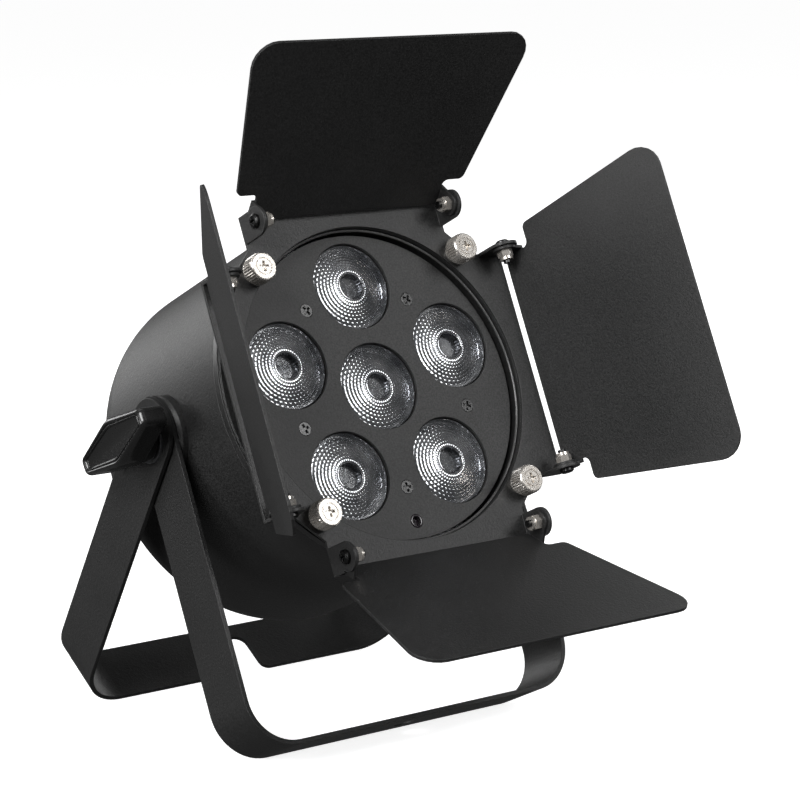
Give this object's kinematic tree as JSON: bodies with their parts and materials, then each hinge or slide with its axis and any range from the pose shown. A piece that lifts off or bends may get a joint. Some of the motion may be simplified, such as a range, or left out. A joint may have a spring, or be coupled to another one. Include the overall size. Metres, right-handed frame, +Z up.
{
  "type": "par can light",
  "caption": "Compact LED par can light on a folding double floor bracket, with a facetted lens cluster, hinged barn doors and side tilt knobs.",
  "frame": {"origin": "On the floor, under the middle of the whole lamp as it stands with its doors open.", "axes": "+Z up; the lamp faces -Y, tilted up by 25 degrees; +X along the tilt axis, to the right of a viewer who faces the lens."},
  "size_m": [0.2081, 0.2373, 0.2748],
  "materials": {
    "powder_black": "fine textured black powder coat",
    "frame_grey": "fine textured dark grey powder coat",
    "bezel_black": "satin black paint",
    "plate_grey": "matte dark grey paint",
    "lens_clear": "clear moulded acrylic with a facetted front",
    "carrier_black": "moulded black plastic",
    "screw_grey": "grey zinc-plated countersunk screws",
    "screw_black": "black oxide screws",
    "nickel": "bright nickel plate",
    "zinc": "zinc plate",
    "knob_black": "glossy black moulded knob",
    "friction_black": "dark friction washer",
    "aluminium": "plain extruded aluminium",
    "board_white": "white solder mask",
    "phosphor_yellow": "light source under a clear dome",
    "board_green": "green solder mask",
    "brass": "plain brass",
    "fan_black": "black moulded plastic",
    "sensor_black": "dark window",
    "display_red": "dark red window",
    "button_black": "dark grey moulded button",
    "socket_black": "black moulded plastic"
  },
  "bodies": {
    "inner_bracket": {"inner_bracket": "powder_black"},
    "outer_bracket": {"outer_bracket": "powder_black", "bracket_washers": "friction_black", "knob_washers": "zinc"},
    "lamp_head": {"can_shell": "powder_black", "rear_panel": "powder_black", "side_boss_left": "powder_black", "side_boss_right": "powder_black", "barn_door_frame": "frame_grey", "front_bezel": "bezel_black", "lens_plate": "plate_grey", "tir_lens_centre": "lens_clear", "tir_lens_1": "lens_clear", "tir_lens_2": "lens_clear", "tir_lens_3": "lens_clear", "tir_lens_4": "lens_clear", "tir_lens_5": "lens_clear", "lens_carrier": "carrier_black", "lens_plate_screws": "screw_grey", "hinge_screws": "screw_black", "rear_panel_screws": "screw_black", "hinge_nuts": "nickel", "nut_plate_left": "zinc", "nut_plate_right": "zinc", "heatsink_screws": "zinc", "board_screws": "zinc", "heatsink": "aluminium", "led_board": "board_white", "led_emitters": "phosphor_yellow", "driver_board": "board_green", "control_board": "board_green", "board_standoffs": "brass", "fan_frame": "fan_black", "ir_sensor": "sensor_black", "display_window": "display_red", "dmx_in_socket": "socket_black", "dmx_out_socket": "socket_black", "power_inlet": "socket_black", "fuse_holder": "socket_black"},
    "fan_wheel": {"fan_rotor": "fan_black"},
    "knob_left": {"tilt_knob_left": "knob_black", "pivot_stud_left": "zinc"},
    "knob_right": {"tilt_knob_right": "knob_black", "pivot_stud_right": "zinc"},
    "top_door": {"door_top": "powder_black"},
    "bottom_door": {"door_bottom": "powder_black"},
    "left_door": {"door_left": "powder_black"},
    "right_door": {"door_right": "powder_black"},
    "thumbscrew_1": {"thumbscrew_1": "nickel"},
    "thumbscrew_2": {"thumbscrew_2": "nickel"},
    "thumbscrew_3": {"thumbscrew_3": "nickel"},
    "thumbscrew_4": {"thumbscrew_4": "nickel"},
    "button_menu": {"button_menu": "button_black"},
    "button_down": {"button_down": "button_black"},
    "button_up": {"button_up": "button_black"},
    "button_enter": {"button_enter": "button_black"}
  },
  "joints": [
    {"name": "bracket_fold", "type": "hinge", "parent": "inner_bracket", "child": "outer_bracket", "pos_m": [0.0042, 0.0359, 0.122], "axis": [1, 0, 0], "range_deg": [-57.62, 30]},
    {"name": "head_tilt", "type": "hinge", "parent": "inner_bracket", "child": "lamp_head", "pos_m": [0.0042, 0.0359, 0.122], "axis": [-1, 0, 0], "range_deg": [-14, 65]},
    {"name": "knob_left_turn", "type": "hinge", "parent": "lamp_head", "child": "knob_left", "pos_m": [-0.0878, 0.0359, 0.122], "axis": [-1, 0, 0], "continuous": true},
    {"name": "knob_right_turn", "type": "hinge", "parent": "lamp_head", "child": "knob_right", "pos_m": [0.0962, 0.0359, 0.122], "axis": [1, 0, 0], "continuous": true},
    {"name": "top_door_hinge", "type": "hinge", "parent": "lamp_head", "child": "top_door", "pos_m": [0.0042, 0.00887, 0.20577], "axis": [1, 0, 0], "range_deg": [-53.5, 101.5]},
    {"name": "bottom_door_hinge", "type": "hinge", "parent": "lamp_head", "child": "bottom_door", "pos_m": [0.0042, -0.04734, 0.08523], "axis": [-1, 0, 0], "range_deg": [-52.5, 102.5]},
    {"name": "left_door_hinge", "type": "hinge", "parent": "lamp_head", "child": "left_door", "pos_m": [-0.0623, -0.01923, 0.1455], "axis": [0, 0.4226, 0.9063], "range_deg": [-62, 32]},
    {"name": "right_door_hinge", "type": "hinge", "parent": "lamp_head", "child": "right_door", "pos_m": [0.0707, -0.01923, 0.1455], "axis": [0, -0.4226, -0.9063], "range_deg": [-69.5, 24.5]},
    {"name": "thumbscrew_1_turn", "type": "hinge", "parent": "lamp_head", "child": "thumbscrew_1", "pos_m": [0.05285, 0.00577, 0.18752], "axis": [0, -0.9063, 0.4226], "continuous": true},
    {"name": "thumbscrew_2_turn", "type": "hinge", "parent": "lamp_head", "child": "thumbscrew_2", "pos_m": [-0.04445, 0.00577, 0.18752], "axis": [0, -0.9063, 0.4226], "continuous": true},
    {"name": "thumbscrew_3_turn", "type": "hinge", "parent": "lamp_head", "child": "thumbscrew_3", "pos_m": [-0.04445, -0.03535, 0.09934], "axis": [0, -0.9063, 0.4226], "continuous": true},
    {"name": "thumbscrew_4_turn", "type": "hinge", "parent": "lamp_head", "child": "thumbscrew_4", "pos_m": [0.05285, -0.03535, 0.09934], "axis": [0, -0.9063, 0.4226], "continuous": true},
    {"name": "fan_spin", "type": "hinge", "parent": "lamp_head", "child": "fan_wheel", "pos_m": [0.0042, 0.0482, 0.11406], "axis": [0, -0.9063, 0.4226], "continuous": true},
    {"name": "button_menu_press", "type": "slide", "parent": "lamp_head", "child": "button_menu", "axis": [0, -0.9063, 0.4226], "range_m": [0, 0.0008], "stiffness_N_per_m": 400, "springref_m": -0.0002},
    {"name": "button_down_press", "type": "slide", "parent": "lamp_head", "child": "button_down", "axis": [0, -0.9063, 0.4226], "range_m": [0, 0.0008], "stiffness_N_per_m": 400, "springref_m": -0.0002},
    {"name": "button_up_press", "type": "slide", "parent": "lamp_head", "child": "button_up", "axis": [0, -0.9063, 0.4226], "range_m": [0, 0.0008], "stiffness_N_per_m": 400, "springref_m": -0.0002},
    {"name": "button_enter_press", "type": "slide", "parent": "lamp_head", "child": "button_enter", "axis": [0, -0.9063, 0.4226], "range_m": [0, 0.0008], "stiffness_N_per_m": 400, "springref_m": -0.0002}
  ]
}
